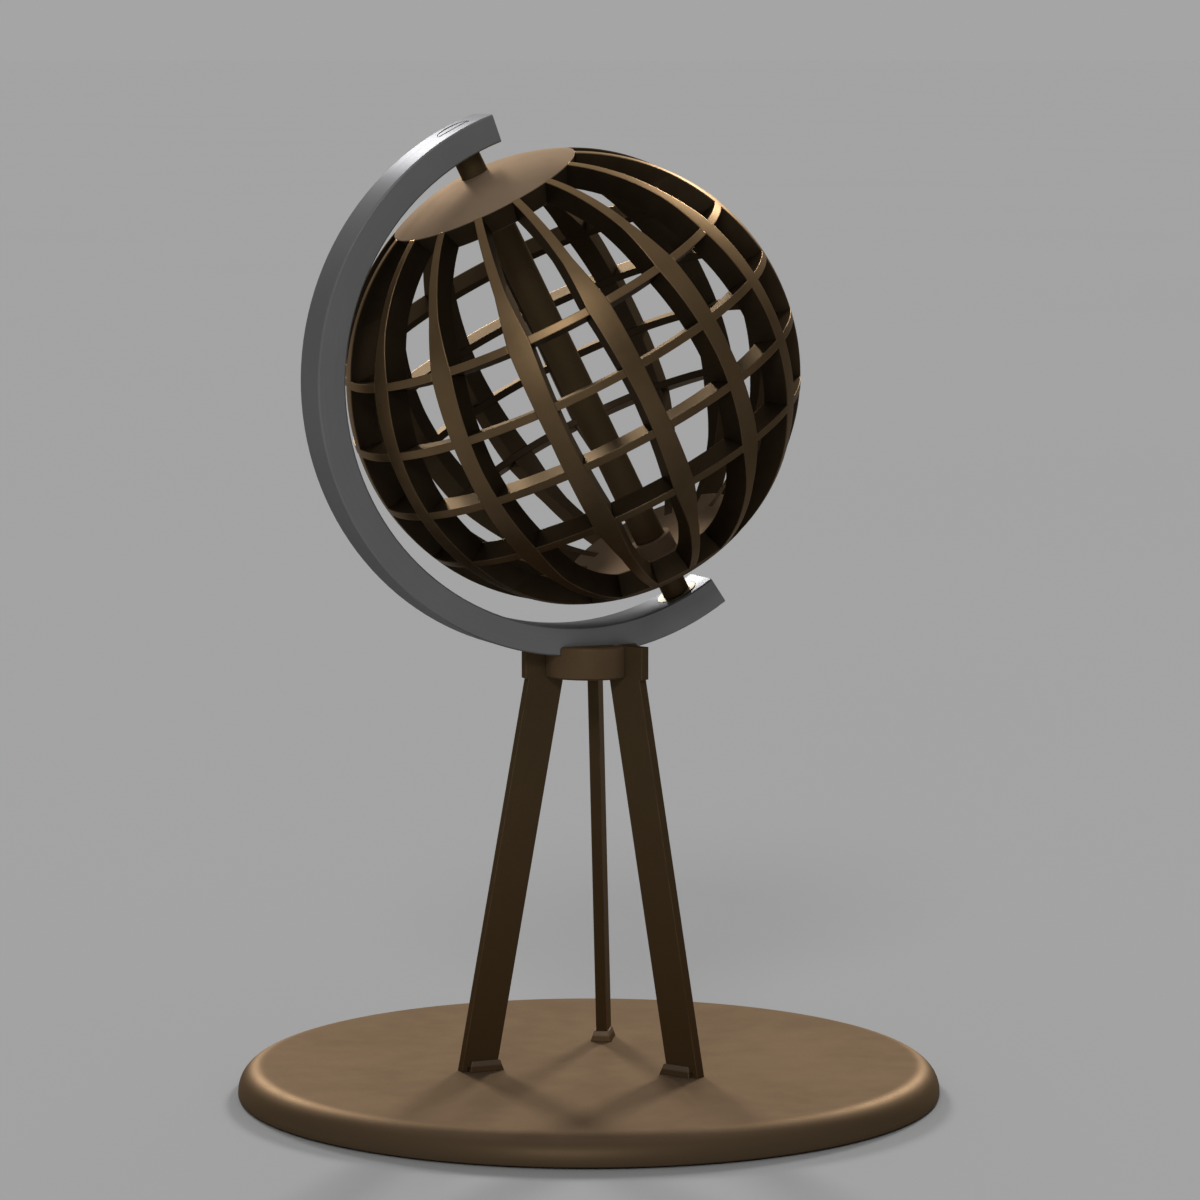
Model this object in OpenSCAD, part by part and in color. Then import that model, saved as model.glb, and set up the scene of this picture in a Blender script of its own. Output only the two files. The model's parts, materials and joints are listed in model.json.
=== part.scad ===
// Terrestrial globe: an open lattice ball turns in a fixed meridian arm on a three-legged stand.
// Millimetres, +Z up. The origin is the centre of the underside. The arm stands in the XZ plane
// with its back towards -X, and the ball's axis leans towards -X.

/* [Ball] */
// Outside radius of the ball
ball_r = 100; // [88:1:125]
// Thickness of the ball's shell
shell_t = 10.5; // [8:0.5:14]
// Number of ribs from cap to cap
rib_count = 15; // [12:1:18]
// Width of a rib at the equator
rib_w_equator = 8.1; // [7:0.1:11]
// Width of a rib at the outer hoops
rib_w_hoop = 10; // [8:0.1:12]
// Width of a rib above the outer hoops, where it has narrowed
rib_w_waist = 4.8; // [4:0.1:8]
// Width of a rib where it meets a cap
rib_w_cap = 3.5; // [2.6:0.1:4.4]
// Latitude where a rib has narrowed, in degrees
waist_lat = 39.4; // [34:0.1:45]
// Latitude of the caps' edges, in degrees
cap_lat = 64.4; // [58:0.1:67]
// How far a rib's tongue runs on under a cap, in degrees
tongue_deg = 4.5; // [3:0.5:6]
// Width of a hoop on the outside of the ball
hoop_w = 3.6; // [2:0.1:5]
// Latitude of the inner pair of hoops, in degrees
inner_hoop_lat = 8.4; // [6:0.1:12]
// Latitude of the outer pair of hoops, in degrees
outer_hoop_lat = 25.8; // [20:0.1:30]
// Gap in the joints between ribs, hoops and caps
lattice_fit = 0.05; // [0.02:0.01:0.15]
// Turn of the ball at rest, in degrees
ball_turn = 2; // [0:0.1:24]

/* [Axis rod] */
// Diameter of the rod in the caps and the bushes
spindle_d = 12; // [9:0.5:13]
// How much wider the rod is between the caps, on each side
spindle_step = 0.9; // [0.5:0.1:1.5]
// Bevel at the rod's ends
spindle_bevel = 0.8; // [0.3:0.1:1.5]
// Diameter of the boss inside each cap
boss_d = 18.5; // [18:0.5:28]
// Height of the boss inside each cap
boss_h = 8; // [7:0.5:14]
// Gap round the rod in the caps
cap_bore_fit = 0.05; // [0.02:0.01:0.15]
// Diameter of the grub screws that lock the caps to the rod
grub_d = 4; // [3:0.5:5]
// Gap round the rod in the bushes
turn_clearance = 0.08; // [0.04:0.01:0.1]
// Gap between the rod's ends and the plugs
end_play = 0.1; // [0.05:0.05:0.4]

/* [Meridian arm] */
// Gap between the ball and the arm
arm_gap = 9.6; // [8:0.1:16]
// Thickness of the arm, seen from the side
arm_t = 12.5; // [9:0.1:15]
// Width of the arm
arm_w = 23.2; // [21:0.1:30]
// How far the arm runs on past the rod at each end, in degrees
arm_past = 7.1; // [6:0.1:12]
// Bevel along the arm's edges
arm_bevel = 0.6; // [0.2:0.1:1]
// Lean of the ball's axis, in degrees
tilt = 27.2; // [20:0.1:30]
// How far the ball's centre stands behind the hub's centre
set_back = 7.8; // [0:0.1:8]
// Depth of the arm in the hub's saddle
arm_sink = 4.4; // [2:0.1:4.6]

/* [Bushes and plugs] */
// Wall of a bush
bush_wall = 1.5; // [1:0.1:2]
// Width of a bush's flange beyond its body
flange_w = 1.6; // [1:0.1:2]
// Thickness of a bush's flange
flange_t = 1; // [0.8:0.1:1.5]
// Depth of the seat that is cut into the arm for a flange
flange_seat = 0.5; // [0.3:0.1:0.8]
// Gap between a bush or plug and the arm's bore
bush_fit = 0.02; // [0.01:0.01:0.05]
// Thickness of an end plug
plug_t = 3.6; // [3:0.1:4.5]
// Depth of an end plug below the arm's back
plug_depth = 0.3; // [0.3:0.1:1]
// Width of the slot in an end plug
slot_w = 1.6; // [1:0.1:2.4]
// Depth of the slot in an end plug
slot_depth = 1; // [0.6:0.1:1.6]

/* [Hub] */
// Diameter of the hub
hub_d = 43.6; // [42:0.2:50]
// Height of the hub
hub_h = 14.4; // [13:0.1:17]
// Bevel at the hub's edges
hub_bevel = 0.8; // [0.4:0.1:1.2]
// Gap between the arm and the saddle
saddle_fit = 0.1; // [0.05:0.05:0.3]
// Diameter of the arm's screws
arm_screw_d = 4; // [3:0.5:4]
// Distance between the arm's two screws
arm_screw_spacing = 14; // [12:0.5:15]
// Place of the middle between the arm's screws, along X
arm_screw_mid = -1; // [-2:0.5:0]
// Length of the arm's screws in the arm
arm_screw_grip = 7; // [5:0.5:7.5]

/* [Legs] */
// Height of the hub's underside above the base plate
stand_h = 173.3; // [120:0.1:230]
// Width of a leg, seen from the side
leg_w = 16.4; // [14:0.1:18]
// Thickness of a leg
leg_t = 4.8; // [4.2:0.1:6]
// Distance of a leg's middle from the centre line at the base plate
leg_foot_r = 53.5; // [50:0.1:75]
// Distance of a leg's middle from the centre line at the hub's underside
leg_head_r = 21.4; // [21:0.1:23]
// Distance of a leg's tab from the centre line, on its outer side
tab_r = 31; // [30:0.5:34]
// Depth of the slots in the hub that hold the tabs
tab_depth = 3; // [2:0.5:3.5]
// Diameter of the small screws that hold the legs
leg_screw_d = 2.5; // [2:0.1:3]
// Depth of the small screws' heads below the hub's top
leg_screw_sunk = 4.9; // [4.6:0.1:5.5]
// Length of the small screws in a leg
leg_screw_grip = 7; // [5:0.5:7.5]

/* [Feet] */
// Length of a foot block
foot_l = 16; // [13:0.5:18]
// Width of a foot block
foot_w = 9.4; // [9:0.1:13]
// Height of a foot block
foot_h = 4.6; // [4:0.1:7]
// How far a foot block's sides slope in
foot_slope = 1.4; // [0.6:0.1:1.5]
// Distance of a foot block's inner end from the leg's inner edge
foot_lead = 2.8; // [2.6:0.1:4]
// Thickness of a foot block under the leg
foot_web = 2; // [1.5:0.1:2.5]
// Gap between a leg and its slots in the foot block and the hub
leg_fit = 0.1; // [0.05:0.05:0.2]

/* [Base] */
// Diameter of the base plate
base_d = 312; // [260:1:360]
// Thickness of the base plate
base_t = 13.2; // [10:0.1:20]
// Rounding of the base plate's top rim
base_round = 11.5; // [3:0.1:18]
// Bevel of the base plate's bottom rim
base_bevel = 0.5; // [0.2:0.1:1]
// Diameter of the felt disc
pad_d = 296; // [200:1:302]
// Thickness of the felt disc
pad_t = 2; // [1.5:0.1:3]
// Depth of the felt disc's recess in the base plate
pad_recess = 1.2; // [0.8:0.1:1.4]

/* [Hidden] */
$fn = 96;

mid_r = ball_r - shell_t / 2;
in_r = ball_r - shell_t;
rib_step = 360 / rib_count;
tongue_lat = cap_lat + tongue_deg;
hoop_half_deg = asin(hoop_w / 2 / ball_r);
fit_deg = asin(lattice_fit / ball_r);

arm_ir = ball_r + arm_gap;
arm_or = arm_ir + arm_t;
spindle_r = spindle_d / 2;
bush_r = spindle_r + turn_clearance + bush_wall;
flange_r = bush_r + flange_w;
flange_z = arm_ir + flange_seat - flange_t;
plug_z = arm_or - plug_depth - plug_t;
spindle_end = plug_z - end_play;
boss_z = in_r - boss_h;
shoulder_z = boss_z - lattice_fit;
shoulder_r = spindle_r + spindle_step;
grub_z = boss_z + boss_h / 2;

base_z = pad_t - pad_recess;
rim_r = min(base_round, base_t - base_bevel - 0.6);
plate_top = base_z + base_t;
hub_z = plate_top + stand_h;
hub_top = hub_z + hub_h;
hub_r = hub_d / 2;
ball_z = hub_top - arm_sink + arm_or;
leg_slope = (leg_foot_r - leg_head_r) / stand_h;

arm_head_d = 1.75 * arm_screw_d;
arm_head_h = arm_screw_d;
leg_head_d = 1.8 * leg_screw_d;
leg_head_h = leg_screw_d;
screw_fit = 0.05;
head_fit = 0.25;

foot_in_r = leg_r(plate_top) - leg_w / 2 - foot_lead;
foot_out_r = foot_in_r + foot_l;
leg_toe_r = foot_out_r + 0.3;
leg_screw_r = (leg_head_r - leg_w / 2 + hub_r - tab_depth) / 2;
foot_screw_r = (foot_in_r + foot_lead + foot_out_r) / 2;

LEG_TURNS = [180, -60, 60];
STAND_NODES = ["base_plate", "felt_pad", "rear_leg", "left_leg", "right_leg", "rear_foot", "left_foot",
    "right_foot", "foot_screws", "hub", "leg_screws", "meridian_arm", "arm_screws", "upper_bush",
    "lower_bush", "upper_end_plug", "lower_end_plug"];
BALL_NODES = ["spindle", "north_cap", "south_cap", "grub_screws", "north_outer_hoop",
    "north_inner_hoop", "south_inner_hoop", "south_outer_hoop"];

bronze = [0.45, 0.36, 0.27];
dark_bronze = [0.30, 0.22, 0.15];
steel = [0.42, 0.42, 0.43];
brass = [0.71, 0.58, 0.32];
bright_steel = [0.62, 0.62, 0.64];
felt = [0.12, 0.12, 0.12];

function rib_name(i) = str("rib_", i < 10 ? "0" : "", i);
// Distance of a leg's middle from the centre line at height z
function leg_r(z) = leg_foot_r - leg_slope * (z - plate_top);
// Height of a latitude on the outside of the ball
function lat_z(lat) = ball_r * sin(lat);

// Frames

// The ball's own frame, with its centre at the origin and its axis along Z, before it turns
module on_axis() {
    translate([-set_back, 0, ball_z]) rotate([0, -tilt, 0]) children();
}

module turned() {
    on_axis() rotate([0, 0, ball_turn]) children();
}

module south() {
    mirror([0, 0, 1]) children();
}

// Shapes that repeat

// A round piece with a bevel at both ends
module bevelled_disc(r, h, bevel) {
    rotate_extrude() polygon([
        [0, 0], [r - bevel, 0], [r, bevel], [r, h - bevel], [r - bevel, h], [0, h]
    ]);
}

// A cap screw that stands on its tip, with its head's underside at the origin
module cap_screw(d, head_d, head_h, length) {
    difference() {
        union() {
            translate([0, 0, -length]) cylinder(d = d, h = length);
            cylinder(d = head_d, h = head_h);
        }
        translate([0, 0, head_h * 0.45]) cylinder(d = head_d * 0.55, h = head_h, $fn = 6);
    }
}

// The room that a cap screw needs, with its head's counterbore
module screw_room(d, head_d, head_h, length) {
    translate([0, 0, -length]) cylinder(d = d + 2 * screw_fit, h = length + 0.1);
    cylinder(d = head_d + 2 * head_fit, h = head_h);
}

module ball_shell() {
    difference() {
        sphere(ball_r);
        sphere(in_r);
    }
}

// The space round the north pole that lies beyond a latitude
module polar_cone(lat) {
    h = ball_r + 2;
    cylinder(h = h, r1 = 0, r2 = h / tan(lat));
}

// The space between two cones about a latitude, out past the ball
module hoop_space(lat, half_deg) {
    r0 = in_r * 0.8;
    r1 = ball_r + 4;
    low = lat - half_deg;
    high = lat + half_deg;
    rotate_extrude() polygon([
        [r0 * cos(low), r0 * sin(low)], [r1 * cos(low), r1 * sin(low)],
        [r1 * cos(high), r1 * sin(high)], [r0 * cos(high), r0 * sin(high)]
    ]);
}

// A rib's outline, carried straight out along X through the ball's shell
module rib_prism(extra) {
    from = 0.8 * in_r * cos(tongue_lat);
    steps = [
        [0, rib_w_equator], [lat_z(outer_hoop_lat), rib_w_hoop], [lat_z(waist_lat), rib_w_waist],
        [lat_z(cap_lat), rib_w_cap], [ball_r + 2, rib_w_cap]
    ];
    last = len(steps) - 1;
    right_up = [for (i = [0:last]) [steps[i][1] / 2 + extra, steps[i][0]]];
    right_down = [for (i = [0:last - 1]) [right_up[last - i][0], -right_up[last - i][1]]];
    left_up = [for (i = [0:last - 1]) [-right_up[last - i][0], right_up[last - i][1]]];
    left_down = [for (i = [0:last]) [-right_up[i][0], -right_up[i][1]]];
    translate([from, 0, 0]) rotate([90, 0, 90]) linear_extrude(height = ball_r + 2 - from)
        polygon(concat(right_down, right_up, left_up, left_down));
}

module all_rib_prisms(extra) {
    for (i = [1:rib_count]) rotate([0, 0, i * rib_step]) rib_prism(extra);
}

// Base

module base_plate() {
    color(bronze) difference() {
        translate([0, 0, base_z]) rotate_extrude() difference() {
            union() {
                square([base_d / 2 - rim_r, base_t]);
                square([base_d / 2, base_t - rim_r]);
                translate([base_d / 2 - rim_r, base_t - rim_r]) intersection() {
                    circle(rim_r);
                    square(rim_r);
                }
            }
            polygon([[base_d / 2 - base_bevel, 0], [base_d / 2, base_bevel], [base_d, 0], [base_d / 2, -1]]);
        }
        translate([0, 0, -1]) cylinder(d = pad_d + 0.6, h = base_z + pad_recess + 1);
        for (a = LEG_TURNS) rotate([0, 0, a]) translate([foot_screw_r, 0, 0]) foot_screw_room();
    }
}

module felt_pad() {
    color(felt) cylinder(d = pad_d, h = pad_t);
}

// Feet

module foot_block() {
    difference() {
        intersection() {
            rotate([90, 0, 0]) translate([0, 0, -foot_w]) linear_extrude(height = 2 * foot_w) polygon([
                [foot_in_r, plate_top], [foot_out_r, plate_top],
                [foot_out_r - foot_slope, plate_top + foot_h], [foot_in_r + foot_slope, plate_top + foot_h]
            ]);
            rotate([90, 0, 90]) linear_extrude(height = foot_out_r + foot_w) polygon([
                [-foot_w / 2, plate_top], [foot_w / 2, plate_top],
                [foot_w / 2 - foot_slope, plate_top + foot_h], [-foot_w / 2 + foot_slope, plate_top + foot_h]
            ]);
        }
        translate([leg_r(plate_top + foot_h) - leg_w / 2 - leg_fit, -leg_t / 2 - leg_fit, plate_top + foot_web])
            cube([foot_l, leg_t + 2 * leg_fit, foot_h]);
        translate([foot_screw_r, 0, 0]) foot_screw_room();
    }
}

module foot_screw_room() {
    translate([0, 0, base_z + pad_recess + leg_head_h + head_fit]) mirror([0, 0, 1])
        screw_room(leg_screw_d, leg_head_d, leg_head_h + 1, plate_top + foot_web + leg_screw_grip
            - base_z - pad_recess - leg_head_h - head_fit);
}

module rear_foot() {
    color(bronze) rotate([0, 0, LEG_TURNS[0]]) foot_block();
}

module left_foot() {
    color(bronze) rotate([0, 0, LEG_TURNS[1]]) foot_block();
}

module right_foot() {
    color(bronze) rotate([0, 0, LEG_TURNS[2]]) foot_block();
}

module foot_screws() {
    length = plate_top + foot_web + leg_screw_grip - 0.5 - base_z - pad_recess - leg_head_h - head_fit;
    color(bright_steel) for (a = LEG_TURNS) rotate([0, 0, a])
        translate([foot_screw_r, 0, base_z + pad_recess + leg_head_h + head_fit]) mirror([0, 0, 1])
            cap_screw(leg_screw_d, leg_head_d, leg_head_h, length);
}

// Legs

// A flat leg with a tab beside the hub, a shoulder under it and a toe beyond the foot block
module leg_plate() {
    half = leg_w / 2;
    z0 = plate_top + foot_web;
    difference() {
        translate([0, leg_t / 2, 0]) rotate([90, 0, 0]) linear_extrude(height = leg_t) polygon([
            [leg_r(z0) - half, z0], [leg_toe_r, z0], [leg_toe_r, plate_top], [leg_r(plate_top) + half, plate_top],
            [leg_head_r + half, hub_z], [tab_r, hub_z], [tab_r, hub_top],
            [hub_r - tab_depth + leg_fit, hub_top], [hub_r - tab_depth + leg_fit, hub_z],
            [leg_head_r - half, hub_z]
        ]);
        translate([foot_screw_r, 0, 0]) foot_screw_room();
        translate([leg_screw_r, 0, 0]) leg_screw_room();
    }
}

module leg_screw_room() {
    head_z = hub_top - leg_screw_sunk - leg_head_h;
    translate([0, 0, head_z])
        screw_room(leg_screw_d, leg_head_d, hub_h, head_z - hub_z + leg_screw_grip);
}

module rear_leg() {
    color(dark_bronze) difference() {
        rotate([0, 0, LEG_TURNS[0]]) leg_plate();
        arm_room();
    }
}

module left_leg() {
    color(dark_bronze) rotate([0, 0, LEG_TURNS[1]]) leg_plate();
}

module right_leg() {
    color(dark_bronze) rotate([0, 0, LEG_TURNS[2]]) leg_plate();
}

// Hub

// The room that the arm takes in the hub
module arm_room() {
    translate([-set_back, arm_w / 2 + saddle_fit, ball_z]) rotate([90, 0, 0])
        cylinder(r = arm_or + saddle_fit, h = arm_w + 2 * saddle_fit);
}

module arm_screw_places() {
    for (s = [-0.5, 0.5]) translate([arm_screw_mid + s * arm_screw_spacing, 0, 0]) children();
}

module arm_screw_room() {
    head_z = hub_z + arm_head_h + head_fit;
    translate([0, 0, head_z]) mirror([0, 0, 1])
        screw_room(arm_screw_d, arm_head_d, arm_head_h + 1, ball_z - arm_or + arm_screw_grip + 1 - head_z);
}

module hub() {
    color(bronze) difference() {
        translate([0, 0, hub_z]) bevelled_disc(hub_r, hub_h, hub_bevel);
        arm_room();
        for (a = LEG_TURNS) rotate([0, 0, a]) {
            translate([hub_r - tab_depth, -leg_t / 2 - leg_fit, hub_z - 1])
                cube([tab_depth + 2, leg_t + 2 * leg_fit, hub_h + 2]);
            translate([leg_screw_r, 0, 0]) leg_screw_room();
        }
        arm_screw_places() arm_screw_room();
    }
}

module leg_screws() {
    head_z = hub_top - leg_screw_sunk - leg_head_h;
    color(bright_steel) for (a = LEG_TURNS) rotate([0, 0, a]) translate([leg_screw_r, 0, head_z])
        cap_screw(leg_screw_d, leg_head_d, leg_head_h, head_z - hub_z + leg_screw_grip - 0.5);
}

module arm_screws() {
    head_z = hub_z + arm_head_h + head_fit;
    color(bright_steel) arm_screw_places() translate([0, 0, head_z]) mirror([0, 0, 1])
        cap_screw(arm_screw_d, arm_head_d, arm_head_h, ball_z - arm_or + arm_screw_grip - head_z);
}

// Arm

module meridian_arm() {
    half = arm_w / 2;
    color(steel) difference() {
        on_axis() difference() {
            rotate([90, 0, 0]) rotate([0, 0, 90 - arm_past]) rotate_extrude(angle = 180 + 2 * arm_past)
                polygon([
                    [arm_ir + arm_bevel, -half], [arm_or - arm_bevel, -half], [arm_or, -half + arm_bevel],
                    [arm_or, half - arm_bevel], [arm_or - arm_bevel, half], [arm_ir + arm_bevel, half],
                    [arm_ir, half - arm_bevel], [arm_ir, -half + arm_bevel]
                ]);
            arm_bore();
            south() arm_bore();
        }
        arm_screw_places() arm_screw_room();
    }
}

// The bore for a bush and its plug, with the seat for the flange
module arm_bore() {
    translate([0, 0, arm_ir - 2]) cylinder(r = bush_r + bush_fit, h = arm_t + 4);
    translate([0, 0, arm_ir - 2]) cylinder(r = flange_r + 0.2, h = 2 + flange_seat);
}

module bush() {
    color(brass) difference() {
        union() {
            translate([0, 0, flange_z]) cylinder(r = flange_r, h = flange_t);
            translate([0, 0, flange_z]) cylinder(r = bush_r, h = plug_z - 0.2 - flange_z);
        }
        translate([0, 0, flange_z - 1]) cylinder(r = spindle_r + turn_clearance, h = arm_t + 4);
    }
}

module end_plug() {
    color(steel) difference() {
        translate([0, 0, plug_z]) bevelled_disc(bush_r, plug_t, 0.3);
        translate([-bush_r, -slot_w / 2, plug_z + plug_t - slot_depth]) cube([2 * bush_r, slot_w, slot_depth + 1]);
    }
}

module upper_bush() {
    on_axis() bush();
}

module lower_bush() {
    on_axis() south() bush();
}

module upper_end_plug() {
    on_axis() end_plug();
}

module lower_end_plug() {
    on_axis() south() end_plug();
}

// Ball

// The rod, with a wider middle that the caps rest against
module spindle() {
    color(bronze) turned() {
        translate([0, 0, -spindle_end]) bevelled_disc(spindle_r, 2 * spindle_end, spindle_bevel);
        translate([0, 0, -shoulder_z]) bevelled_disc(shoulder_r, 2 * shoulder_z, 0.3);
    }
}

// A solid cap with pockets for the ribs' tongues and a boss that is locked to the rod
module cap() {
    color(bronze) difference() {
        union() {
            intersection() {
                ball_shell();
                polar_cone(cap_lat);
            }
            translate([0, 0, boss_z]) cylinder(d = boss_d, h = mid_r - boss_z);
        }
        translate([0, 0, boss_z - 1]) cylinder(r = spindle_r + cap_bore_fit, h = ball_r);
        difference() {
            intersection() {
                sphere(mid_r + lattice_fit);
                all_rib_prisms(lattice_fit);
            }
            polar_cone(tongue_lat + fit_deg);
        }
        translate([0, 0, grub_z]) rotate([0, 90, 0]) cylinder(d = grub_d + 2 * screw_fit, h = boss_d / 2 + 1);
    }
}

module north_cap() {
    turned() cap();
}

module south_cap() {
    turned() south() cap();
}

module grub_screw() {
    length = boss_d / 2 - spindle_r - 0.4;
    translate([spindle_r + 0.05, 0, grub_z]) rotate([0, 90, 0]) difference() {
        cylinder(d = grub_d, h = length);
        translate([0, 0, length * 0.5]) cylinder(d = grub_d * 0.55, h = length, $fn = 6);
    }
}

module grub_screws() {
    color(bright_steel) turned() {
        grub_screw();
        south() grub_screw();
    }
}

// A hoop whose outer half is notched for the ribs
module hoop(lat) {
    color(bronze) turned() difference() {
        intersection() {
            ball_shell();
            hoop_space(lat, hoop_half_deg);
        }
        difference() {
            all_rib_prisms(lattice_fit);
            sphere(mid_r - lattice_fit);
        }
    }
}

module north_outer_hoop() {
    hoop(outer_hoop_lat);
}

module north_inner_hoop() {
    hoop(inner_hoop_lat);
}

module south_inner_hoop() {
    hoop(-inner_hoop_lat);
}

module south_outer_hoop() {
    hoop(-outer_hoop_lat);
}

// What a cap takes from the end of a rib, so that only the tongue is left
module rib_end_room() {
    difference() {
        polar_cone(cap_lat - fit_deg);
        sphere(mid_r);
    }
    polar_cone(tongue_lat);
}

// A rib whose inner half is notched for the hoops
module rib(i) {
    color(bronze) turned() rotate([0, 0, i * rib_step]) difference() {
        intersection() {
            ball_shell();
            rib_prism(0);
        }
        rib_end_room();
        south() rib_end_room();
        for (lat = [outer_hoop_lat, inner_hoop_lat, -inner_hoop_lat, -outer_hoop_lat]) intersection() {
            sphere(mid_r + lattice_fit);
            hoop_space(lat, hoop_half_deg + fit_deg);
        }
    }
}

base_plate();
felt_pad();
rear_leg();
left_leg();
right_leg();
rear_foot();
left_foot();
right_foot();
foot_screws();
hub();
leg_screws();
meridian_arm();
arm_screws();
upper_bush();
lower_bush();
upper_end_plug();
lower_end_plug();
spindle();
north_cap();
south_cap();
grub_screws();
north_outer_hoop();
north_inner_hoop();
south_inner_hoop();
south_outer_hoop();
for (i = [1:rib_count]) {
    rib(i);
}
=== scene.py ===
"""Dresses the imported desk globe: a lattice ball in a meridian arm, on three legs and a round plate."""

import json
import math

import bmesh
import bpy
from bpy.props import FloatProperty, FloatVectorProperty, PointerProperty
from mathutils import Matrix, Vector


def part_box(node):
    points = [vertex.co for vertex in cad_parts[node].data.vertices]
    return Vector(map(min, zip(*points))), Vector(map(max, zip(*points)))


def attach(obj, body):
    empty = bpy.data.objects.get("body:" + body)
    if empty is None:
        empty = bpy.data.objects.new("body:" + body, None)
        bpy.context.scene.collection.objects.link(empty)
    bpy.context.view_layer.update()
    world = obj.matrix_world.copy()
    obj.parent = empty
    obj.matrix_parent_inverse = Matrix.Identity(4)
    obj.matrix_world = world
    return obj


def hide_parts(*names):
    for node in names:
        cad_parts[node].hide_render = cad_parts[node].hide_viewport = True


bl_info = {
    "name": "Lattice Desk Globe",
    "version": (1, 0, 0),
    "blender": (4, 5, 0),
    "location": "3D View > Sidebar > Globe",
    "description": "Finishes the parts of a lattice desk globe and lights them on a plain stage",
    "category": "Object",
}

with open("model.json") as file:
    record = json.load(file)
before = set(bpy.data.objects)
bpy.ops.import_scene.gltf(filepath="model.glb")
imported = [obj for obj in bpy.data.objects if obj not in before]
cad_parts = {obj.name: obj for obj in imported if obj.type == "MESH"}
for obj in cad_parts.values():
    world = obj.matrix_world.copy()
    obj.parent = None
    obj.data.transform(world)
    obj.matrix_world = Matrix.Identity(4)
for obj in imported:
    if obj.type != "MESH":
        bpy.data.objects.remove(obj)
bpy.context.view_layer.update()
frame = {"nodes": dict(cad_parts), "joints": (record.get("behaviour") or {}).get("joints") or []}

STAND = "stand"
SIDES = ("rear", "left", "right")
UP = Vector((0.0, 0.0, 1.0))
# How far off the lamps stand. Suns light alike from any distance.
LAMP_DISTANCE = 3.0
SPIN = frame["joints"][0]
BALL_CENTRE = Vector(SPIN["pos_m"])
BALL_AXIS = Vector(SPIN["axis"]).normalized()


def distances(name):
    """How far the points of a CAD node lie from the ball's centre."""
    return [(vertex.co - BALL_CENTRE).length for vertex in frame["nodes"][name].data.vertices]


BALL_RADIUS = max(distances("rib_01"))
SHELL = BALL_RADIUS - min(distances("north_inner_hoop"))
ARM_RADIUS = BALL_CENTRE.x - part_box("meridian_arm")[0].x


# Nodes as plain Python

class Value:
    """A number that varies over a surface. Sums written on it in Python add its Math nodes."""

    def __init__(self, finish, socket):
        self.finish = finish
        self.socket = socket

    def __add__(self, other):
        return self.finish.maths("ADD", self, other)

    def __sub__(self, other):
        return self.finish.maths("SUBTRACT", self, other)

    def __rsub__(self, other):
        return self.finish.maths("SUBTRACT", other, self)

    def __mul__(self, other):
        return self.finish.maths("MULTIPLY", self, other)

    __radd__ = __add__
    __rmul__ = __mul__


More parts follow.
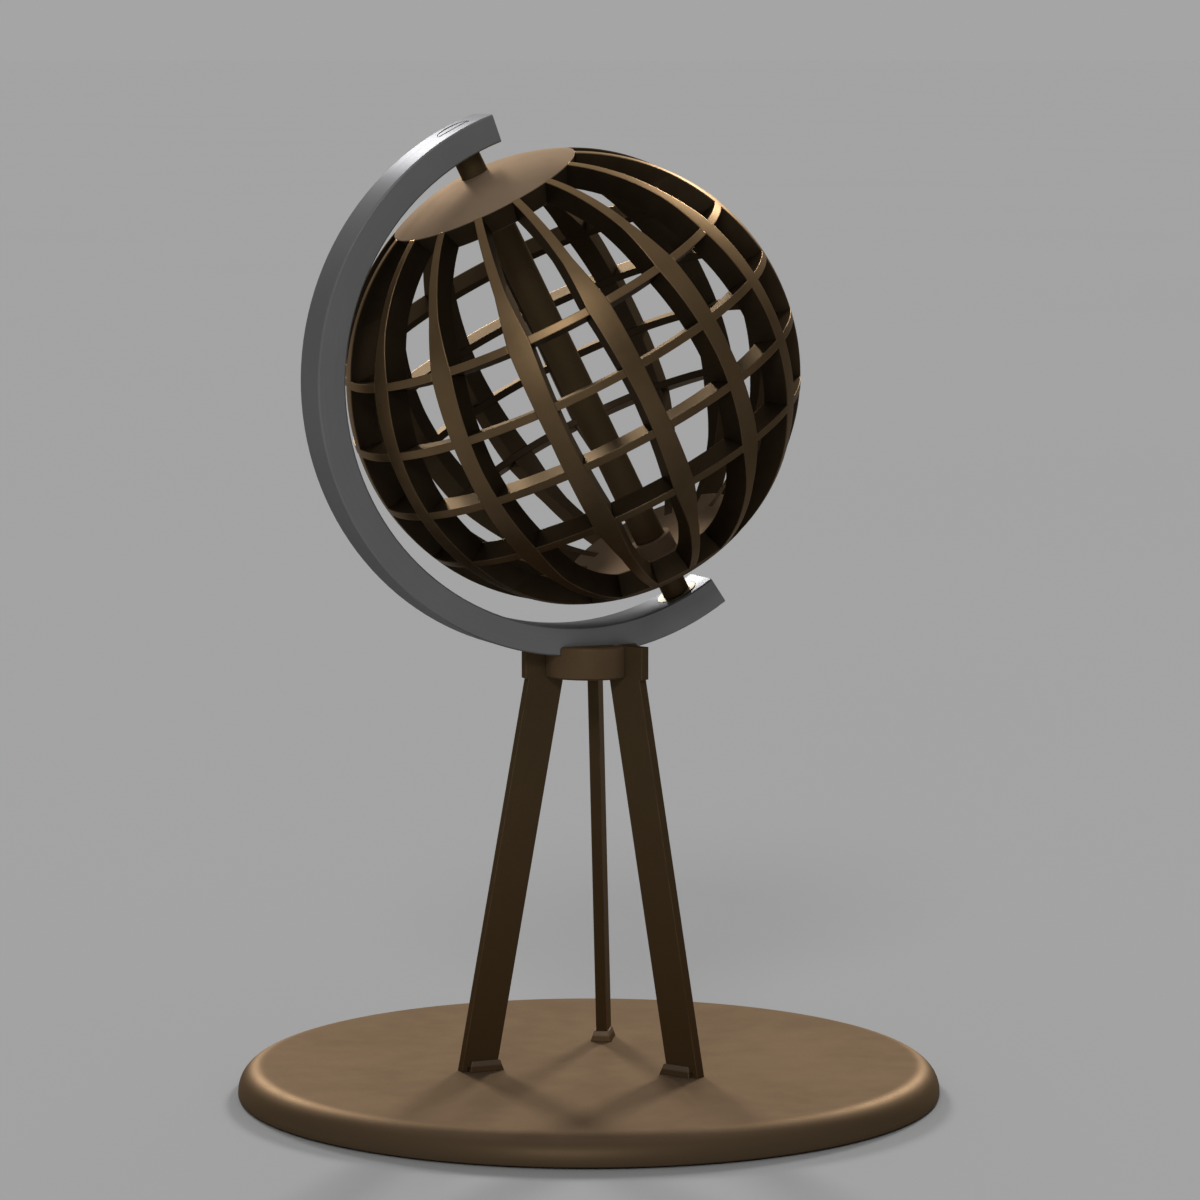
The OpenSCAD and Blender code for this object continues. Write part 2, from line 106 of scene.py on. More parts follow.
class Finish:
    """A node tree, and the few kinds of node that this globe's finishes are made of."""

    def __init__(self, owner):
        owner.use_nodes = True
        self.owner = owner
        self.tree = owner.node_tree
        self.tree.nodes.clear()

    def node(self, kind, settings=None, sockets=None):
        """Adds one node: its settings first, then the values or links of its sockets."""
        made = self.tree.nodes.new(kind)
        for name, value in (settings or {}).items():
            setattr(made, name, value)
        for name, value in (sockets or {}).items():
            entry = self.find(made.inputs, name)
            value = value.socket if isinstance(value, Value) else value
            if isinstance(value, bpy.types.NodeSocket):
                self.tree.links.new(value, entry)
            else:
                entry.default_value = value
        return made

    @staticmethod
    def find(sockets, name):
        """A socket by its place, its identifier or its name."""
        if isinstance(name, int):
            return sockets[name]
        return next((s for s in sockets if s.identifier == name), None) or sockets[name]

    def value(self, node, output=0):
        """One output of a node, as a number."""
        return Value(self, self.find(node.outputs, output))

    def maths(self, operation, *terms):
        return self.value(self.node("ShaderNodeMath", {"operation": operation}, dict(enumerate(terms))))

    def vector_maths(self, operation, terms):
        return self.node("ShaderNodeVectorMath", {"operation": operation}, dict(enumerate(terms)))

    def vector(self, operation, *terms):
        """A vector worked out from others."""
        return self.vector_maths(operation, terms).outputs[0]

    def measure(self, operation, *terms):
        """A number worked out from vectors, such as a length."""
        return self.value(self.vector_maths(operation, terms), "Value")

    def position(self):
        return self.node("ShaderNodeTexCoord").outputs["Object"]

    def true_normal(self):
        return self.node("ShaderNodeNewGeometry").outputs["Normal"]

    def parts(self, vector):
        """The x, y and z of a vector, as numbers."""
        split = self.node("ShaderNodeSeparateXYZ", None, {0: vector})
        return [self.value(split, i) for i in range(3)]

    def joined(self, x, y, z):
        return self.node("ShaderNodeCombineXYZ", None, {0: x, 1: y, 2: z}).outputs[0]

    def noise(self, vector, scale, detail, roughness):
        """Noise from 0 to 1 round a middle of 0.5, with its scale in waves to the metre."""
        return self.value(self.node("ShaderNodeTexNoise", None, {
            "Vector": vector, "Scale": scale, "Detail": detail, "Roughness": roughness}))

    def rise(self, value, low, high):
        """0 below low, 1 above high, and smooth between them."""
        return self.value(self.node("ShaderNodeMapRange", {"interpolation_type": "SMOOTHSTEP"}, {
            "Value": value, "From Min": low, "From Max": high}))

    def mix(self, share, first, second):
        """Goes from the first colour to the second as share goes from 0 to 1."""
        mixed = self.node("ShaderNodeMix", {"data_type": "RGBA"}, {
            "Factor_Float": share, "A_Color": first, "B_Color": second})
        return self.find(mixed.outputs, "Result_Color")

    def soft_normal(self, radius):
        """The surface's normal, with edges rounded by that radius."""
        return self.node("ShaderNodeBevel", {"samples": 6}, {"Radius": radius}).outputs[0]

    def edges(self, soft_normal):
        """1 along the piece's edges and 0 on its faces."""
        likeness = self.measure("DOT_PRODUCT", soft_normal, self.true_normal())
        return self.rise(1 - likeness, low=0.01, high=0.25)

    def bump(self, height, depth, normal):
        """A normal that follows height, from 0 to 1, over a depth in metres."""
        return self.node("ShaderNodeBump", None, {
            "Strength": 1.0, "Distance": depth, "Height": height, "Normal": normal}).outputs[0]

    def surface(self, **sockets):
        """Closes a material with one Principled shader.
        Underscores stand for the spaces in the names of its sockets."""
        named = {name.replace("_", " "): value for name, value in sockets.items()}
        shader = self.node("ShaderNodeBsdfPrincipled", None, named)
        self.node("ShaderNodeOutputMaterial", None, {"Surface": shader.outputs[0]})
        return self.owner


def rgba(colour, gain=1.0):
    return (*[min(1.0, c * gain) for c in colour], 1.0)


def new_finish(name):
    return Finish(bpy.data.materials.new(name))


# Finishes

class BronzeFinish(Finish):
    """Satin bronze: a cloudy brown patina, a fine grain, and edges rubbed bright.
    The scales of the patina's clouds and blotches are in waves to the metre."""

    def __init__(self, name, settings, cloud_scale, blotch_scale):
        super().__init__(bpy.data.materials.new(name))
        self.settings = settings
        self.place = self.position()
        self.clouds = self.noise(self.place, cloud_scale, detail=3.0, roughness=0.55)
        self.blotches = self.noise(self.place, blotch_scale, detail=4.0, roughness=0.6)
        self.grain = self.noise(self.place, scale=1400.0, detail=2.0, roughness=0.6)
        self.patina = self.rise(self.clouds * 0.65 + self.blotches * 0.35, low=0.36, high=0.66)
        self.soft = self.soft_normal(settings.edge_radius)
        self.rubbed = self.edges(self.soft) * self.rise(self.blotches, low=0.3, high=0.62)

    def patinated(self, colour):
        """That colour, a little darker and lighter by turns under the patina."""
        spread = self.settings.patina
        return self.mix(self.patina, rgba(colour, 1 - spread), rgba(colour, 1 + spread))

    def finished(self, body, rubbed, metallic, roughness, height):
        """Brightens the body's colour where it is rubbed, and closes the material."""
        return self.surface(
            Base_Color=self.mix(rubbed * self.settings.wear, body, rgba(self.settings.rubbed_colour)),
            Metallic=metallic, Roughness=roughness + (self.blotches - 0.5) * 0.12 - rubbed * 0.06,
            Specular_Tint=rgba(self.settings.glancing_colour), Specular_IOR_Level=0.0,
            Normal=self.bump(height, self.settings.grain_depth, self.soft))


def bronze(name, colour, settings, turned=False, low=None):
    """The bronze of the plate, the stand and the rod. turned is for pieces that show the lathe's rings.
    low is a darker colour painted lower down as shade, with the heights where it starts and ends."""
    finish = BronzeFinish(name, settings, cloud_scale=16.0, blotch_scale=70.0)
    body = finish.patinated(colour)
    if low:
        low_shade_colour, start, end = low
        # Painted shade: the colour darkens towards the bottom of the piece
        above = finish.rise(finish.parts(finish.place)[2], low=end, high=start)
        body = finish.mix(above, rgba(low_shade_colour), body)
    specks = finish.rise(finish.grain, low=0.3, high=0.7) * 0.2
    body = finish.mix(specks, body, rgba(colour, 0.72))
    height = finish.grain
    if turned:
        height = height * 0.5 + turned_rings(finish) * 0.55
    roughness = settings.roughness + (finish.grain - 0.5) * 0.08
    return finish.finished(body, finish.rubbed, settings.metallic, roughness, height)


def turned_rings(finish):
    """Faint rings round the upright axis, as a lathe leaves them."""
    x, y, z = finish.parts(finish.place)
    radius = finish.maths("SQRT", x * x + y * y)
    return finish.noise(finish.joined(radius, z, 0.0), scale=900.0, detail=2.0, roughness=0.5)


def ball_bronze(name, colour, inner_shade_colour, metallic, roughness, settings):
    """The ball's bronze. Its outside is painted lighter in the northern half and darker towards the
    south, as painted light and shade, while the cut sides and the inside are painted dark, as shade.
    Depths are below the ball's surface."""
    finish = BronzeFinish(name, settings, cloud_scale=20.0, blotch_scale=85.0)
    from_centre = finish.vector("SUBTRACT", finish.place, tuple(BALL_CENTRE))
    depth = BALL_RADIUS - finish.measure("LENGTH", from_centre)
    north = finish.measure("DOT_PRODUCT", from_centre, tuple(BALL_AXIS))
    # Painted light and shade: the outside is painted lighter to the north and darker to the south
    painted_north_light = finish.rise(north + (finish.clouds - 0.5) * 0.02, low=-0.045, high=0.05)
    outside = 1 - finish.rise(depth + (finish.blotches - 0.5) * 0.0004, low=0.0001, high=0.0006)
    # Painted shade: the cut sides and the inside are painted dark, the sides with a cloudy patina
    inside = finish.rise(depth, low=SHELL - 0.0005, high=SHELL - 0.0001)
    sides = finish.mix(finish.patina, rgba(settings.cut_side_shade_colour, 0.85), rgba(settings.cut_side_shade_colour, 1.2))
    dark = finish.mix(inside, sides, rgba(inner_shade_colour))
    body = finish.mix(outside * (0.2 + painted_north_light * 0.8), dark, finish.patinated(colour))
    matt = roughness + (1 - outside) * 0.1
    return finish.finished(body, finish.rubbed * outside, metallic, matt, finish.grain)


def brushed_steel(name, settings, ground=False):
    """Dull grey steel, brushed round the arc of the arm. ground is for the end plugs, which are ground
    off together with the arm's back and so catch the light as it does."""
    finish = new_finish(name)
    place = finish.position()
    x, y, z = finish.parts(finish.vector("SUBTRACT", place, tuple(BALL_CENTRE)))
    turn = finish.maths("ARCTAN2", z, -1 * x)
    out = finish.maths("SQRT", x * x + z * z)
    along, across = ARM_RADIUS / settings.brush_length, 1 / settings.brush_width
    strokes = finish.noise(
        finish.joined(turn * along, out * across, y * across), scale=1.0, detail=3.0, roughness=0.6)
    clouds = finish.noise(place, scale=24.0, detail=3.0, roughness=0.5)
    body = finish.mix(clouds, rgba(settings.steel_colour, 0.88), rgba(settings.steel_colour, 1.12))
    scored = finish.rise(strokes, low=0.25, high=0.75) * 0.18
    body = finish.mix(scored, body, rgba(settings.steel_colour, 0.8))
    if ground:
        soft = finish.vector("NORMALIZE", finish.joined(x, 0.0, z))
    else:
        soft = finish.soft_normal(settings.edge_radius)
        rubbed = finish.edges(soft) * finish.rise(clouds, low=0.35, high=0.6)
        body = finish.mix(rubbed * 0.7, body, rgba(settings.steel_colour, 1.9))
    return finish.surface(
        Base_Color=body, Metallic=settings.steel_metallic,
        Roughness=settings.steel_roughness + (strokes - 0.5) * 0.1 + (clouds - 0.5) * 0.06,
        Specular_Tint=rgba(settings.steel_colour, 1.6), Specular_IOR_Level=0.0,
        Normal=finish.bump(strokes, settings.brush_depth, soft))


def fitting_metal(name, colour, settings, roughness, centre, axis):
    """Small turned metal, with fine rings round an axis through that centre."""
    finish = new_finish(name)
    place = finish.position()
    from_centre = finish.vector("SUBTRACT", place, tuple(centre))
    radius = finish.measure("LENGTH", finish.vector("CROSS_PRODUCT", from_centre, tuple(axis)))
    rings = finish.noise(finish.joined(radius, 0.0, 0.0), scale=2600.0, detail=2.0, roughness=0.5)
    smudge = finish.noise(place, scale=220.0, detail=3.0, roughness=0.6)
    return finish.surface(
        Base_Color=finish.mix(smudge, rgba(colour, 0.75), rgba(colour, 1.15)), Metallic=1.0,
        Roughness=roughness + (smudge - 0.5) * 0.2 + (rings - 0.5) * 0.1,
        Normal=finish.bump(rings, depth=0.00002, normal=finish.soft_normal(settings.edge_radius)))


def felt(name, colour):
    """Pressed wool felt: matted fibres with a pale fuzz."""
    finish = new_finish(name)
    place = finish.position()
    mat = finish.noise(place, scale=700.0, detail=5.0, roughness=0.7)
    tufts = finish.noise(place, scale=160.0, detail=3.0, roughness=0.6)
    fuzz = finish.rise(mat * 0.7 + tufts * 0.3, low=0.35, high=0.68)
    return finish.surface(
        Base_Color=finish.mix(fuzz, rgba(colour, 0.6), rgba(colour, 1.7)),
        Roughness=0.92 + (tufts - 0.5) * 0.1, Sheen_Weight=0.4, Sheen_Roughness=0.6,
        Normal=finish.bump(mat + tufts, depth=0.0004, normal=finish.true_normal()))


def stage_paper(name, colour):
    """Matt paper, almost even in tone."""
    finish = new_finish(name)
    tone = finish.noise(finish.position(), scale=0.6, detail=2.0, roughness=0.4)
    return finish.surface(
        Base_Color=finish.mix(tone, rgba(colour, 0.985), rgba(colour, 1.015)), Roughness=0.95,
        Specular_IOR_Level=0.0)


# Making and dressing pieces

def dress(names, material):
    """Gives the CAD nodes of these names one finish."""
    for name in names:
        piece = frame["nodes"][name]
        piece.data.materials.clear()
        piece.data.materials.append(material)


def put_in_scene(name, shape):
    """Makes an object of a bmesh, and frees the bmesh."""
    mesh = bpy.data.meshes.new(name)
    shape.to_mesh(mesh)
    shape.free()
    piece = bpy.data.objects.new(name, mesh)
    bpy.context.scene.collection.objects.link(piece)
    return piece


def spin_profile(name, profile, rounded, segments):
    """Turns a profile of (radius, height) points round the upright axis, on which it starts and ends.
    rounded maps corners of the profile to the radius that each is rounded by."""
    shape = bmesh.new()
    points = {point: shape.verts.new((point[0], 0.0, point[1])) for point in profile}
    for first, second in zip(profile, profile[1:]):
        shape.edges.new((points[first], points[second]))
    for corner, radius in rounded.items():
        bmesh.ops.bevel(
            shape, geom=[points[corner]], offset=radius, offset_type="OFFSET", segments=segments,
            affect="VERTICES", profile=0.5, material=-1)
    bmesh.ops.spin(
        shape, geom=shape.verts[:] + shape.edges[:], cent=(0, 0, 0), axis=(0, 0, 1),
        angle=math.tau, steps=160, use_merge=True)
    bmesh.ops.remove_doubles(shape, verts=shape.verts, dist=1e-6)
    bmesh.ops.recalc_face_normals(shape, faces=shape.faces)
    for face in shape.faces:
        face.smooth = True
    piece = put_in_scene(name, shape)
    piece.data.set_sharp_from_angle(angle=math.radians(25))
    return piece


def bearing(azimuth, elevation):
    """A direction as a vector. Azimuth goes from +Y towards +X, in degrees."""
    turn, lift = math.radians(azimuth), math.radians(elevation)
    return Vector((math.sin(turn) * math.cos(lift), math.cos(turn) * math.cos(lift), math.sin(lift)))


# Settings

class GLOBE_PG_bronze(bpy.types.PropertyGroup):
    """The bronze of the plate, the stand and the ball."""
    plate_colour: FloatVectorProperty(
        name="Plate", description="Colour of the base plate",
        subtype="COLOR", size=3, min=0.0, max=1.0, default=(0.160, 0.108, 0.067))
    # Painted shade: the rim is painted darker low down, below the flat top
    rim_shade_colour: FloatVectorProperty(
        name="Rim", description="Colour of the shade painted on the base plate's rim",
        subtype="COLOR", size=3, min=0.0, max=1.0, default=(0.115, 0.077, 0.044))
    rim_rounding: FloatProperty(
        name="Rim rounding", description="Rounding of the base plate's top rim", subtype="DISTANCE",
        unit="LENGTH", min=0.001, max=0.012, default=0.0115)
    hub_colour: FloatVectorProperty(
        name="Hub", description="Colour of the hub",
        subtype="COLOR", size=3, min=0.0, max=1.0, default=(0.135, 0.088, 0.048))
    leg_colour: FloatVectorProperty(
        name="Legs and rod", description="Colour of the three legs at the hub, and of the rod",
        subtype="COLOR", size=3, min=0.0, max=1.0, default=(0.088, 0.059, 0.030))
    # Painted shade on the feet's lower faces, and on the legs darkening towards the plate
    leg_low_shade_colour: FloatVectorProperty(
        name="Legs' lower end", description="Colour of the shade painted on the feet and low on the legs",
        subtype="COLOR", size=3, min=0.0, max=1.0, default=(0.080, 0.047, 0.021))
    # Painted highlight: the feet's bevelled tops are painted lighter than the legs
    foot_top_light_colour: FloatVectorProperty(
        name="Feet", description="Colour of the light painted on the tops of the foot blocks",
        subtype="COLOR", size=3, min=0.0, max=1.0, default=(0.150, 0.108, 0.072))
    ball_colour: FloatVectorProperty(
        name="Ball", description="Colour of the ball's outside",
        subtype="COLOR", size=3, min=0.0, max=1.0, default=(0.215, 0.140, 0.072))
    # Painted shade: the cut sides of the ball's pieces are painted dark
    cut_side_shade_colour: FloatVectorProperty(
        name="Sides", description="Colour of the shade painted on the cut sides of the ball's pieces",
        subtype="COLOR", size=3, min=0.0, max=1.0, default=(0.048, 0.033, 0.019))
    # Painted shade on the inside of the lattice
    inner_shade_colour: FloatVectorProperty(
        name="Inside", description="Colour of the shade painted on the inside of the lattice",
        subtype="COLOR", size=3, min=0.0, max=1.0, default=(0.065, 0.045, 0.028))
    cap_colour: FloatVectorProperty(
        name="Caps", description="Colour of the ball's caps",
        subtype="COLOR", size=3, min=0.0, max=1.0, default=(0.310, 0.222, 0.148))
    # Painted shade on the inside of the caps
    cap_inner_shade_colour: FloatVectorProperty(
        name="Caps' inside", description="Colour of the shade painted on the caps' inside",
        subtype="COLOR", size=3, min=0.0, max=1.0, default=(0.200, 0.140, 0.090))
    rubbed_colour: FloatVectorProperty(
        name="Rubbed edges", description="Colour of the bare bronze on rubbed edges",
        subtype="COLOR", size=3, min=0.0, max=1.0, default=(0.42, 0.29, 0.18))
    glancing_colour: FloatVectorProperty(
        name="Glancing light", description="Colour of the bronze where it is seen edge on",
        subtype="COLOR", size=3, min=0.0, max=1.0, default=(0.70, 0.62, 0.54))
    metallic: FloatProperty(
        name="Metallic", description="How metallic the bronze is", subtype="FACTOR",
        min=0.0, max=1.0, default=0.4)
    roughness: FloatProperty(
        name="Roughness", description="How matt the bronze is", subtype="FACTOR",
        min=0.1, max=0.9, default=0.48)
    ball_metallic: FloatProperty(
        name="Ball metallic", description="How metallic the lattice is", subtype="FACTOR",
        min=0.0, max=1.0, default=0.85)
    ball_roughness: FloatProperty(
        name="Ball roughness", description="How matt the lattice is", subtype="FACTOR",
        min=0.1, max=0.9, default=0.38)
    cap_roughness: FloatProperty(
        name="Cap roughness", description="How matt the caps are", subtype="FACTOR",
        min=0.1, max=0.9, default=0.6)
    wear: FloatProperty(
        name="Wear", description="How far the edges are rubbed bright", subtype="FACTOR",
        min=0.0, max=1.0, default=0.3)
    patina: FloatProperty(
        name="Patina", description="How cloudy the patina is", subtype="FACTOR",
        min=0.0, max=0.5, default=0.08)
    grain_depth: FloatProperty(
        name="Grain depth", description="Depth of the fine grain", subtype="DISTANCE", unit="LENGTH",
        min=0.0, max=0.0005, default=0.00003)
    edge_radius: FloatProperty(
        name="Edge radius", description="Radius that sharp edges are shaded with", subtype="DISTANCE",
        unit="LENGTH", min=0.0, max=0.002, default=0.0006)


class GLOBE_PG_steel(bpy.types.PropertyGroup):
    """The steel of the arm, and the small fittings."""
    steel_colour: FloatVectorProperty(
        name="Arm", description="Colour of the arm's steel",
        subtype="COLOR", size=3, min=0.0, max=1.0, default=(0.225, 0.225, 0.228))
    steel_roughness: FloatProperty(
        name="Roughness", description="How matt the arm is", subtype="FACTOR",
        min=0.1, max=0.9, default=0.35)
    steel_metallic: FloatProperty(
        name="Metallic", description="How metallic the arm is under its dull film", subtype="FACTOR",
        min=0.0, max=1.0, default=0.45)
    brush_length: FloatProperty(
        name="Stroke length", description="Length of the brush strokes", subtype="DISTANCE",
        unit="LENGTH", min=0.005, max=0.2, default=0.045)
    brush_width: FloatProperty(
        name="Stroke width", description="Width of the brush strokes", subtype="DISTANCE",
        unit="LENGTH", min=0.0001, max=0.002, default=0.0006)
    brush_depth: FloatProperty(
        name="Stroke depth", description="Depth of the brush strokes", subtype="DISTANCE",
        unit="LENGTH", min=0.0, max=0.0002, default=0.00001)
    edge_radius: FloatProperty(
        name="Edge radius", description="Radius that edges of the arm and fittings are shaded with",
        subtype="DISTANCE", unit="LENGTH", min=0.0, max=0.002, default=0.0002)
    brass_colour: FloatVectorProperty(
        name="Bushes", description="Colour of the brass bushes",
        subtype="COLOR", size=3, min=0.0, max=1.0, default=(0.16, 0.115, 0.055))
    screw_colour: FloatVectorProperty(
        name="Screws", description="Colour of the screws",
        subtype="COLOR", size=3, min=0.0, max=1.0, default=(0.36, 0.35, 0.34))


class GLOBE_PG_felt(bpy.types.PropertyGroup):
    """The felt disc under the plate."""
    colour: FloatVectorProperty(
        name="Felt", description="Colour of the felt disc",
        subtype="COLOR", size=3, min=0.0, max=1.0, default=(0.022, 0.022, 0.022))
    rounding: FloatProperty(
        name="Edge rounding", description="Rounding of the felt disc's edge", subtype="DISTANCE",
        unit="LENGTH", min=0.0001, max=0.0009, default=0.0006)


class GLOBE_PG_stage(bpy.types.PropertyGroup):
    """The floor, the light and the camera."""
    floor_colour: FloatVectorProperty(
        name="Floor", description="Colour of the floor",
        subtype="COLOR", size=3, min=0.0, max=1.0, default=(0.375, 0.375, 0.375))
    floor_radius: FloatProperty(
        name="Floor radius", description="Radius of the floor", subtype="DISTANCE", unit="LENGTH",
        min=5.0, max=500.0, default=300.0)
    horizon: FloatVectorProperty(
        name="Horizon", description="Colour of the surroundings at eye level",
        subtype="COLOR", size=3, min=0.0, max=1.0, default=(0.376, 0.376, 0.376))
    walls: FloatVectorProperty(
        name="Walls", description="Colour of the surroundings above eye level",
        subtype="COLOR", size=3, min=0.0, max=1.0, default=(0.13, 0.13, 0.13))
    zenith: FloatVectorProperty(
        name="Overhead", description="Colour of the surroundings overhead",
        subtype="COLOR", size=3, min=0.0, max=1.0, default=(0.36, 0.36, 0.36))
    glow: FloatVectorProperty(
        name="Glow", description="Colour of the bright patch high up behind the globe",
        subtype="COLOR", size=3, min=0.0, max=1.0, default=(0.8, 0.8, 0.8))
    camera_place: FloatVectorProperty(
        name="Camera", description="Where the camera stands", subtype="XYZ", unit="LENGTH", size=3,
        default=(-0.834, -1.997, 0.4601))
    camera_aim: FloatVectorProperty(
        name="Aim", description="The direction in which the camera looks", subtype="DIRECTION", size=3,
        default=(0.385, 0.916, -0.110))
    camera_angle: FloatProperty(
        name="View angle", description="Angle of the camera's view", subtype="ANGLE", unit="ROTATION",
        min=math.radians(5), max=math.radians(60), default=math.radians(13.86))


# Operators

class GLOBE_OT_base_plate(bpy.types.Operator):
    """Turns the base plate, with its rounded rim and a recess for the felt, and finishes it in bronze"""
    bl_idname = "globe.base_plate"
    bl_label = "Base Plate"

    def execute(self, context):
        settings = context.scene.globe_bronze
        low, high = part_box("base_plate")
        felt_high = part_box("felt_pad")[1]
        radius = high.x
        felt_gap = 0.0003
        recess = felt_high.x + felt_gap
        ledge = felt_high.z
        foot_rounding = 0.0005
        # A point this far before a corner keeps the shading of the flat face flat
        support = 0.0006
        foot_corner = (radius, low.z)
        rim_corner = (radius, high.z)
        profile = [
            (0.0, ledge), (recess - support, ledge), (recess, ledge), (recess, low.z),
            (recess + support, low.z), (radius - foot_rounding - support, low.z), foot_corner,
            rim_corner, (radius - settings.rim_rounding - support, high.z), (0.0, high.z)]
        plate = spin_profile("base_plate_turned", profile, segments=14, rounded={
            rim_corner: settings.rim_rounding, foot_corner: foot_rounding})
        # The heights where the shade painted on the rim starts and where it is full
        dark_start, dark_full = high.z - 0.001, high.z - 0.005
        plate.data.materials.append(bronze(
            "plate_bronze", settings.plate_colour, settings, turned=True,
            low=(settings.rim_shade_colour, dark_start, dark_full)))
        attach(plate, STAND)
        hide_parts("base_plate")
        return {"FINISHED"}


class GLOBE_OT_felt(bpy.types.Operator):
    """Cuts the felt disc under the base plate, with a soft rounded edge"""
    bl_idname = "globe.felt"
    bl_label = "Felt Disc"

    def execute(self, context):
        settings = context.scene.globe_felt
        low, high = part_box("felt_pad")
        radius = high.x
        flat = radius - 0.002
        lower_edge = (radius, low.z)
        upper_edge = (radius, high.z)
        profile = [(0.0, low.z), (flat, low.z), lower_edge, upper_edge, (flat, high.z), (0.0, high.z)]
        disc = spin_profile("felt_disc", profile, segments=4, rounded={
            upper_edge: settings.rounding, lower_edge: settings.rounding})
        disc.data.materials.append(felt("black_felt", settings.colour))
        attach(disc, STAND)
        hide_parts("felt_pad")
        return {"FINISHED"}


class GLOBE_OT_stand(bpy.types.Operator):
    """Finishes the three legs, their feet and the hub"""
    bl_idname = "globe.stand"
    bl_label = "Legs, Feet and Hub"

    def execute(self, context):
        settings = context.scene.globe_bronze
        hub_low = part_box("hub")[0]
        foot_low, foot_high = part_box("rear_foot")
        # The feet are painted lighter on their bevelled tops, as painted highlight, and get painted
        # shade below these heights
        dark_start, dark_full = foot_high.z - 0.0016, foot_low.z + 0.0020
        dress([f"{side}_leg" for side in SIDES], bronze(
            "leg_bronze", settings.leg_colour, settings,
            low=(settings.leg_low_shade_colour, hub_low.z, foot_high.z)))
        dress([f"{side}_foot" for side in SIDES], bronze(
            "foot_bronze", settings.foot_top_light_colour, settings,
            low=(settings.leg_low_shade_colour, dark_start, dark_full)))
        dress(["hub"], bronze("hub_bronze", settings.hub_colour, settings, turned=True))
        return {"FINISHED"}


class GLOBE_OT_arm(bpy.types.Operator):
    """Finishes the meridian arm and the plugs in its ends"""
    bl_idname = "globe.arm"
    bl_label = "Meridian Arm"

    def execute(self, context):
        settings = context.scene.globe_steel
        dress(["meridian_arm"], brushed_steel("arm_steel_brushed", settings))
        dress(["upper_end_plug", "lower_end_plug"],
              brushed_steel("plug_steel_ground", settings, ground=True))
        return {"FINISHED"}


class GLOBE_OT_fittings(bpy.types.Operator):
    """Finishes the brass bushes and the screws"""
    bl_idname = "globe.fittings"
    bl_label = "Bushes and Screws"

    def execute(self, context):
        settings = context.scene.globe_steel
        dress(["upper_bush", "lower_bush"], fitting_metal(
            "bush_brass_turned", settings.brass_colour, settings, roughness=0.5,
            centre=BALL_CENTRE, axis=BALL_AXIS))
        dress(["foot_screws", "leg_screws", "arm_screws", "grub_screws"], fitting_metal(
            "screw_steel_plain", settings.screw_colour, settings, roughness=0.36,
            centre=Vector(), axis=UP))
        return {"FINISHED"}


class GLOBE_OT_ball(bpy.types.Operator):
    """Finishes the ball: its caps, hoops and ribs, and the rod that it turns on"""
    bl_idname = "globe.ball"
    bl_label = "Lattice Ball"

    def execute(self, context):
        settings = context.scene.globe_bronze
        ribs_and_hoops = [
            name for name in frame["nodes"] if name.startswith("rib_") or name.endswith("_hoop")]
        dress(ribs_and_hoops, ball_bronze(
            "lattice_bronze", settings.ball_colour, settings.inner_shade_colour, settings.ball_metallic,
            settings.ball_roughness, settings))
        dress(["north_cap", "south_cap"], ball_bronze(
            "cap_bronze", settings.cap_colour, settings.cap_inner_shade_colour, settings.metallic,
            settings.cap_roughness, settings))
        dress(["spindle"], bronze("rod_bronze", settings.leg_colour, settings))
        return {"FINISHED"}


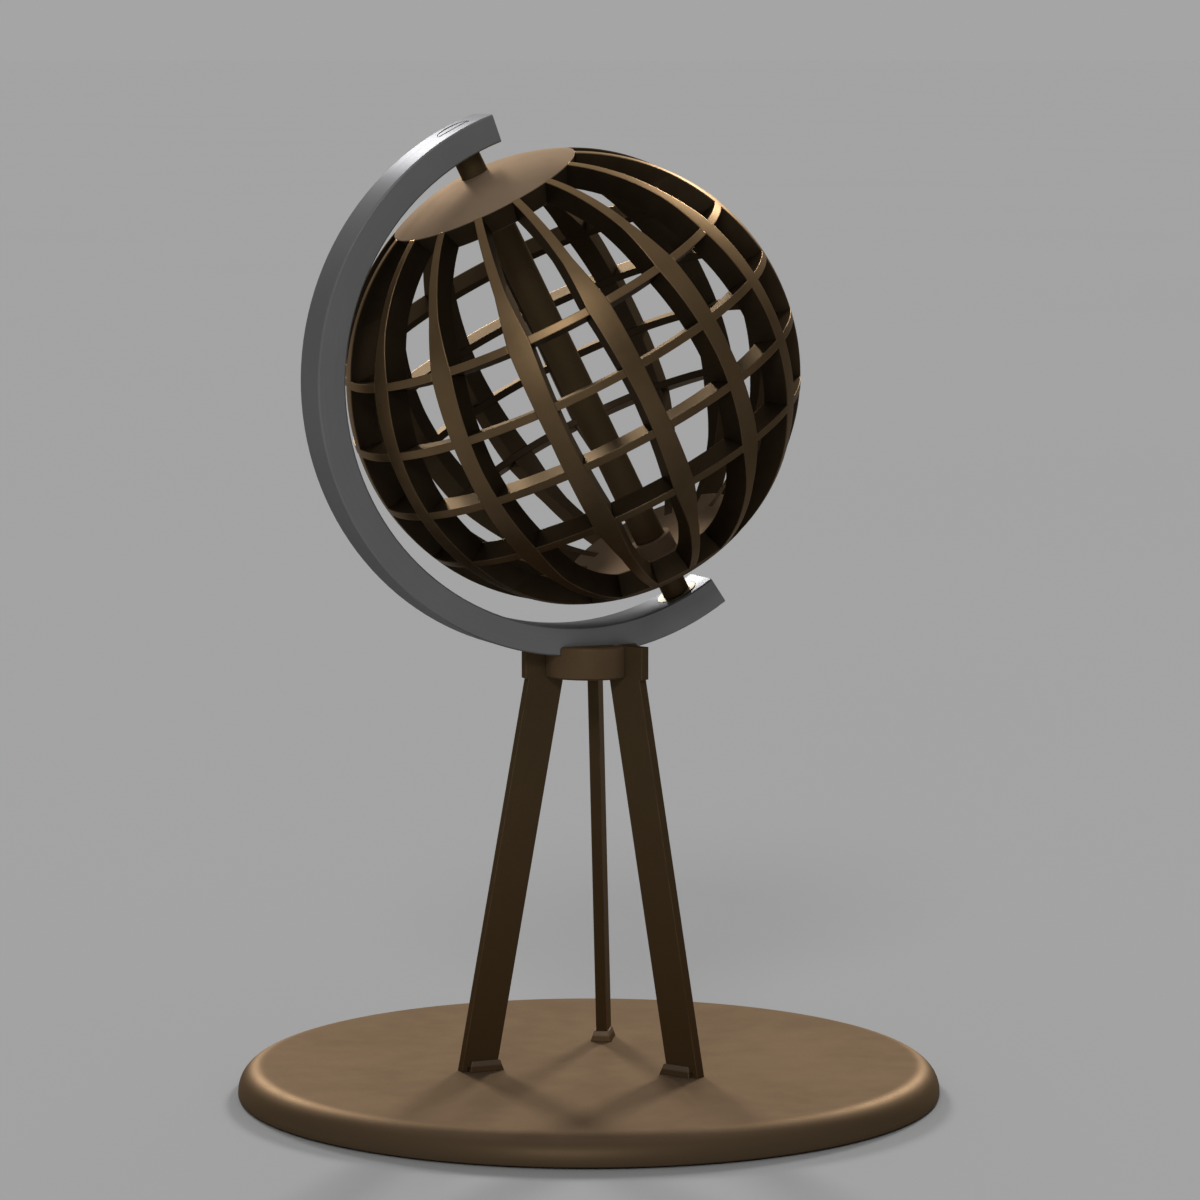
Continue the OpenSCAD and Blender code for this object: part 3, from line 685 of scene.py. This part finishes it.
class GLOBE_OT_stage(bpy.types.Operator):
    """Lays the floor, lights the globe softly and places the camera"""
    bl_idname = "globe.stage"
    bl_label = "Stage"

    def execute(self, context):
        scene = context.scene
        settings = scene.globe_stage
        self.lay_floor(settings)
        self.colour_world(scene, settings)
        self.add_sun(scene, "back_light_left", strength=1.6, softness=9, azimuth=4, elevation=25)
        self.add_sun(scene, "back_light_right", strength=1.7, softness=9, azimuth=43, elevation=27)
        self.add_sun(scene, "front_light_high", strength=0.68, softness=14, azimuth=210, elevation=33)
        self.add_sun(scene, "front_light_low", strength=0.12, softness=10, azimuth=214, elevation=11)
        self.place_camera(scene, settings)
        scene.view_settings.view_transform = "Standard"
        return {"FINISHED"}

    def lay_floor(self, settings):
        shape = bmesh.new()
        bmesh.ops.create_circle(shape, cap_ends=True, segments=96, radius=settings.floor_radius)
        floor = put_in_scene("floor", shape)
        floor.data.materials.append(stage_paper("floor_paper", settings.floor_colour))

    def colour_world(self, scene, settings):
        """Grey surroundings, darker above eye level, with a bright patch high up behind the globe."""
        scene.world = bpy.data.worlds.new("studio")
        finish = Finish(scene.world)
        direction = finish.node("ShaderNodeTexCoord").outputs["Generated"]
        height = finish.parts(direction)[2]
        patch_middle = bearing(azimuth=23, elevation=40)
        behind = finish.measure("DOT_PRODUCT", direction, tuple(patch_middle))
        above_eye = finish.rise(height, low=0.012, high=0.06)
        overhead = finish.rise(height, low=0.25, high=0.9)
        patch = finish.rise(behind, low=0.6, high=0.97) * finish.rise(height, low=0.05, high=0.4)
        walls = finish.mix(above_eye, rgba(settings.horizon), rgba(settings.walls))
        sky = finish.mix(overhead, walls, rgba(settings.zenith))
        colour = finish.mix(patch, sky, rgba(settings.glow))
        glow = finish.node("ShaderNodeBackground", None, {"Color": colour, "Strength": 1.0})
        finish.node("ShaderNodeOutputWorld", None, {"Surface": glow.outputs[0]})

    def add_sun(self, scene, name, strength, softness, azimuth, elevation):
        """A distant light, as wide as its softness. All its angles are in degrees."""
        towards = bearing(azimuth, elevation)
        data = bpy.data.lights.new(name, "SUN")
        data.energy = strength
        data.angle = math.radians(softness)
        lamp = bpy.data.objects.new(name, data)
        lamp.location = towards * LAMP_DISTANCE
        lamp.rotation_euler = towards.to_track_quat("Z", "Y").to_euler()
        scene.collection.objects.link(lamp)

    def place_camera(self, scene, settings):
        data = bpy.data.cameras.new("camera")
        data.sensor_width = 36.0
        data.lens = data.sensor_width / 2 / math.tan(settings.camera_angle / 2)
        data.clip_end = 1000.0
        camera = bpy.data.objects.new("camera", data)
        camera.location = settings.camera_place
        camera.rotation_euler = Vector(settings.camera_aim).to_track_quat("-Z", "Y").to_euler()
        scene.collection.objects.link(camera)
        scene.camera = camera


# Panel and registration

class GLOBE_PT_panel(bpy.types.Panel):
    """Lists the globe's settings and its operators"""
    bl_label = "Lattice Desk Globe"
    bl_space_type = "VIEW_3D"
    bl_region_type = "UI"
    bl_category = "Globe"

    def draw(self, context):
        for heading, place, group, operators in SECTIONS:
            box = self.layout.box()
            box.label(text=heading)
            for name in group.__annotations__:
                box.prop(getattr(context.scene, place), name)
            for operator in operators:
                box.operator(operator.bl_idname)


# The panel's sections: heading, where the scene keeps the settings, settings and operators
SECTIONS = [
    ("Bronze", "globe_bronze", GLOBE_PG_bronze, [GLOBE_OT_base_plate, GLOBE_OT_stand, GLOBE_OT_ball]),
    ("Steel and fittings", "globe_steel", GLOBE_PG_steel, [GLOBE_OT_arm, GLOBE_OT_fittings]),
    ("Felt", "globe_felt", GLOBE_PG_felt, [GLOBE_OT_felt]),
    ("Stage", "globe_stage", GLOBE_PG_stage, [GLOBE_OT_stage]),
]
CLASSES = [entry for _, _, group, operators in SECTIONS for entry in (group, *operators)]
CLASSES.append(GLOBE_PT_panel)


def register():
    for entry in CLASSES:
        bpy.utils.register_class(entry)
    for _, place, group, _ in SECTIONS:
        setattr(bpy.types.Scene, place, PointerProperty(type=group))


def unregister():
    for _, place, _, _ in SECTIONS:
        delattr(bpy.types.Scene, place)
    for entry in reversed(CLASSES):
        bpy.utils.unregister_class(entry)


def main():
    register()
    bpy.ops.globe.base_plate()
    bpy.ops.globe.felt()
    bpy.ops.globe.stand()
    bpy.ops.globe.arm()
    bpy.ops.globe.fittings()
    bpy.ops.globe.ball()
    bpy.ops.globe.stage()


if __name__ == "__main__":
    main()
